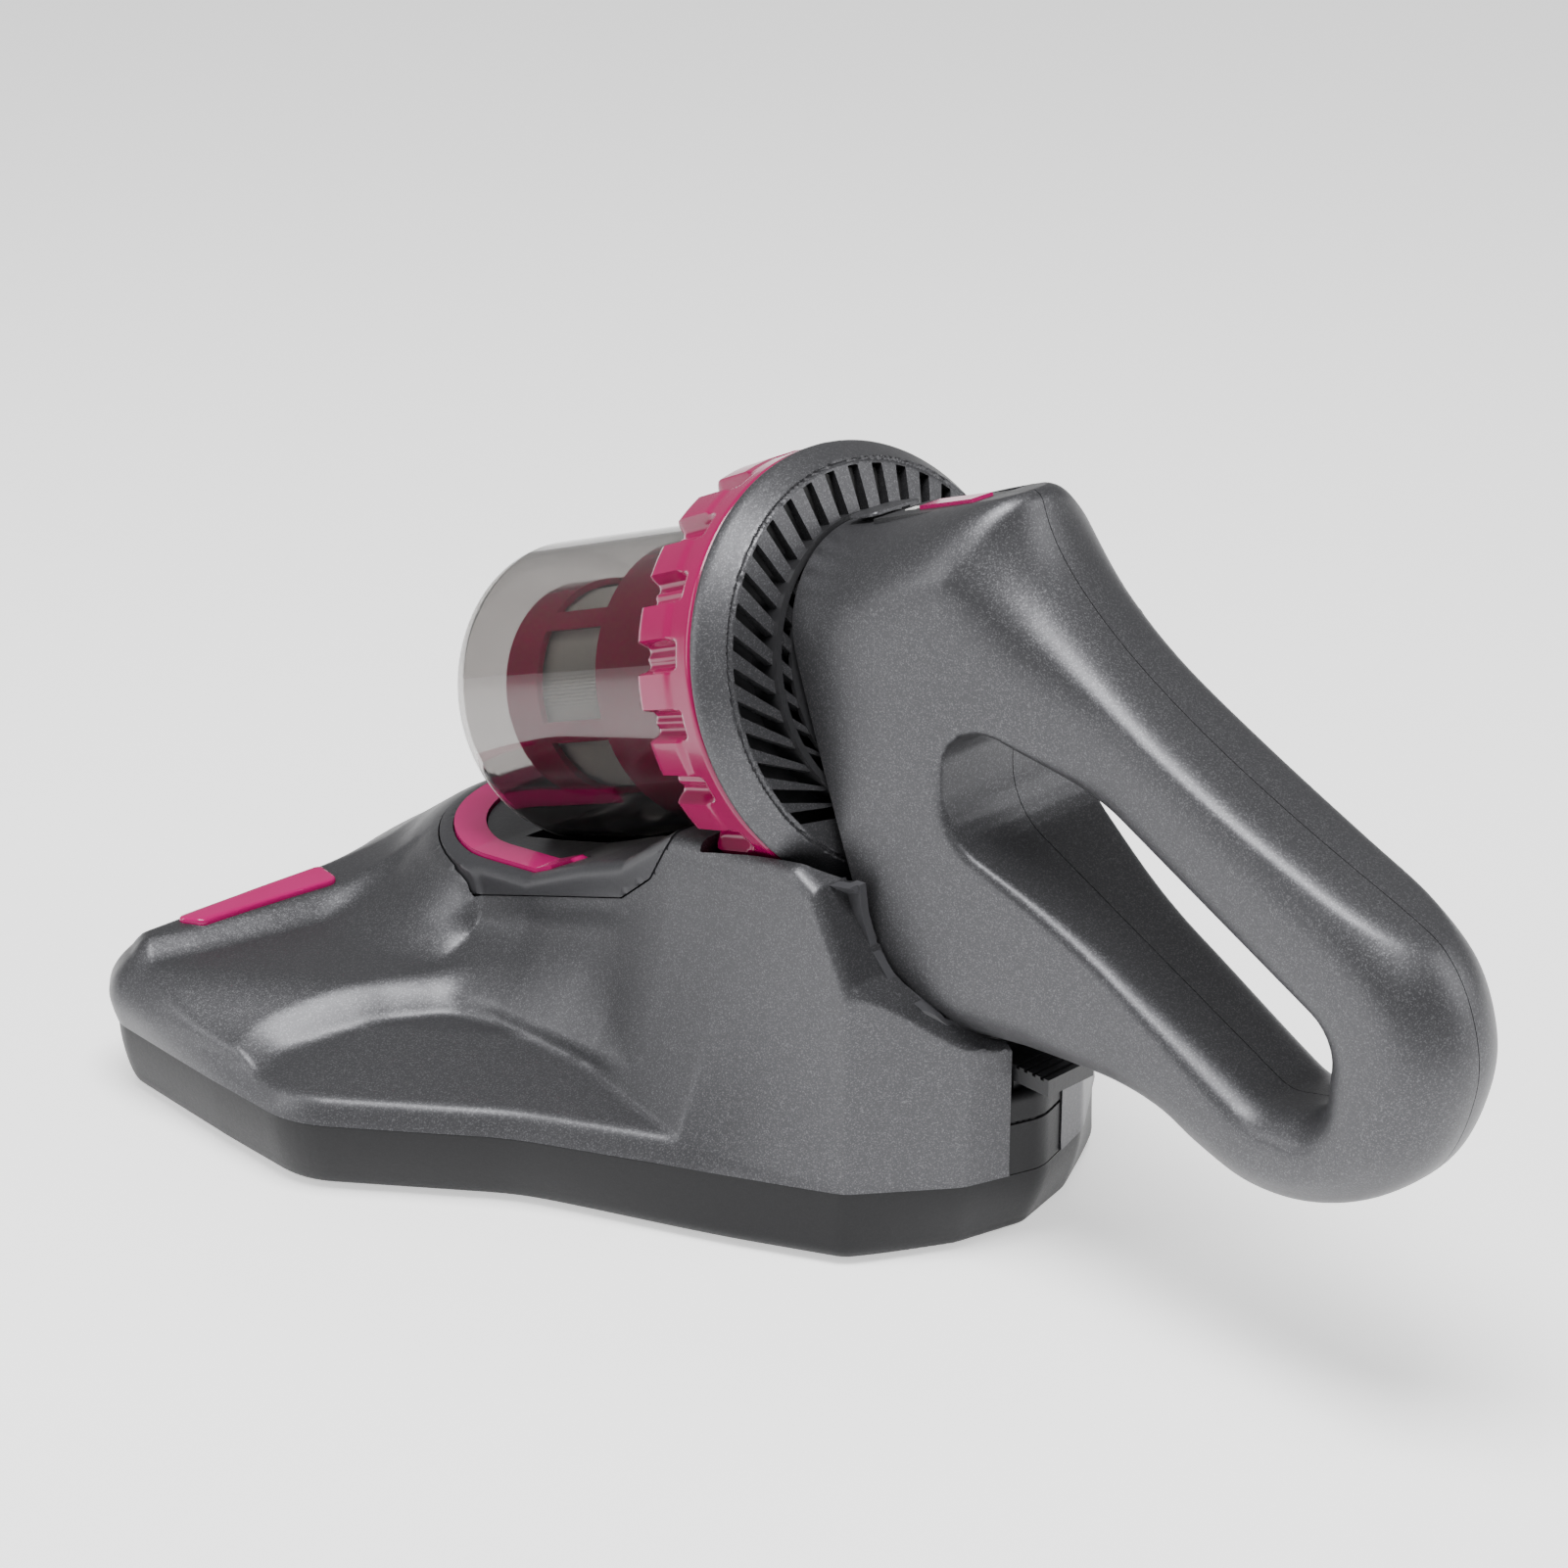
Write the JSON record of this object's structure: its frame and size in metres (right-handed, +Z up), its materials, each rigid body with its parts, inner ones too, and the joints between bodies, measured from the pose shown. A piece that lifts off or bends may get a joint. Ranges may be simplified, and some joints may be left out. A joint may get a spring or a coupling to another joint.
{
  "type": "handheld bed vacuum",
  "caption": "Handheld vacuum: wide brush head with a lift-off hand unit, clear twist-off dust cup, slotted exhaust flange and loop handle.",
  "frame": {"origin": "on the surface it rests on, under the middle of the whole machine", "axes": "+Z up, -Y towards the nose of the brush head, +Y towards the handle, X across the head"},
  "size_m": [0.272, 0.399, 0.2197],
  "materials": {
    "grey_shell": "satin metallic grey, fine sparkle",
    "dark_shell": "fine matte charcoal",
    "magenta_gloss": "glossy tinted magenta",
    "magenta_satin": "satin magenta",
    "smoke_clear": "clear smoke tint",
    "black_plastic": "satin black",
    "black_rubber": "matte",
    "filter_paper": "pleated paper",
    "steel": "brushed",
    "bronze": "sintered",
    "board_green": "solder mask",
    "cell_wrap": "shrink film",
    "white_lens": "diffusing",
    "bristle": "nylon tufts"
  },
  "bodies": {
    "head": {"head_upper_shell": "grey_shell", "head_lower_shell": "dark_shell", "sole_plate": "dark_shell", "cradle": "dark_shell", "saddle_plate": "dark_shell", "saddle_trim": "magenta_satin", "rear_panel": "dark_shell", "latch_spring": "steel", "contact_block": "black_plastic", "suction_duct": "black_plastic", "duct_seal": "black_rubber", "bearing_left": "bronze", "bearing_right": "bronze", "drive_belt": "black_rubber", "brush_motor": "steel", "head_screws": "steel", "trim_strip_left": "magenta_satin", "trim_strip_right": "magenta_satin", "rear_axle_left": "steel", "rear_axle_right": "steel", "front_axle_left": "steel", "front_axle_right": "steel"},
    "hand_unit": {"filter_cage": "magenta_gloss", "pleated_filter": "filter_paper", "filter_seal": "black_rubber", "exhaust_grille": "grey_shell", "fan_housing": "black_plastic", "fan_motor": "steel", "motor_mount": "black_rubber", "body_shell_left": "grey_shell", "body_shell_right": "grey_shell", "control_panel": "black_plastic", "indicator_lens": "white_lens", "front_cap": "grey_shell", "circuit_board": "board_green", "battery_cells": "cell_wrap", "charge_socket": "black_plastic", "body_screws": "steel"},
    "cup": {"dust_cup": "smoke_clear", "twist_ring": "magenta_gloss"},
    "fan": {"fan_impeller": "black_plastic", "motor_shaft": "steel"},
    "button": {"power_button": "magenta_satin"},
    "latch": {"release_latch": "black_plastic"},
    "brush": {"brush_roller": "black_plastic", "brush_bristles": "bristle", "brush_pulley": "black_plastic"},
    "pinion": {"motor_pinion": "bronze"},
    "wheel_rl": {"rear_wheel_left": "black_rubber"},
    "wheel_rr": {"rear_wheel_right": "black_rubber"},
    "wheel_fl": {"front_wheel_left": "black_rubber"},
    "wheel_fr": {"front_wheel_right": "black_rubber"}
  },
  "joints": [
    {"name": "hand_unit_lift", "type": "slide", "parent": "head", "child": "hand_unit", "axis": [0, -0.342, 0.9397], "range_m": [0, 0.06]},
    {"name": "cup_twist", "type": "hinge", "parent": "hand_unit", "child": "cup", "pos_m": [0, -0.01, 0.151], "axis": [0, -0.9397, -0.342], "range_deg": [0, 18]},
    {"name": "fan_spin", "type": "hinge", "parent": "hand_unit", "child": "fan", "pos_m": [0, -0.01, 0.151], "axis": [0, -0.9397, -0.342], "continuous": true},
    {"name": "power_button_press", "type": "slide", "parent": "hand_unit", "child": "button", "axis": [0, 0.342, -0.9397], "range_m": [0, 0.0012], "stiffness_N_per_m": 900},
    {"name": "release_latch_press", "type": "slide", "parent": "head", "child": "latch", "axis": [0, 0, -1], "range_m": [0, 0.004], "stiffness_N_per_m": 600, "springref_m": -0.001, "deforming": ["latch_spring"]},
    {"name": "brush_spin", "type": "hinge", "parent": "head", "child": "brush", "pos_m": [0, -0.166, 0.02], "axis": [1, 0, 0], "continuous": true},
    {"name": "pinion_spin", "type": "hinge", "parent": "head", "child": "pinion", "pos_m": [0.104, -0.122, 0.02], "axis": [1, 0, 0], "continuous": true},
    {"name": "rear_wheel_left_roll", "type": "hinge", "parent": "head", "child": "wheel_rl", "pos_m": [-0.029, 0.022, 0.0112], "axis": [1, 0, 0], "continuous": true},
    {"name": "rear_wheel_right_roll", "type": "hinge", "parent": "head", "child": "wheel_rr", "pos_m": [0.029, 0.022, 0.0112], "axis": [1, 0, 0], "continuous": true},
    {"name": "front_wheel_left_roll", "type": "hinge", "parent": "head", "child": "wheel_fl", "pos_m": [-0.118, -0.122, 0.0072], "axis": [1, 0, 0], "continuous": true},
    {"name": "front_wheel_right_roll", "type": "hinge", "parent": "head", "child": "wheel_fr", "pos_m": [0.118, -0.122, 0.0072], "axis": [1, 0, 0], "continuous": true}
  ],
  "couplings": [
    {"joint": "pinion_spin", "follows": "brush_spin", "ratio": 1.6667}
  ]
}
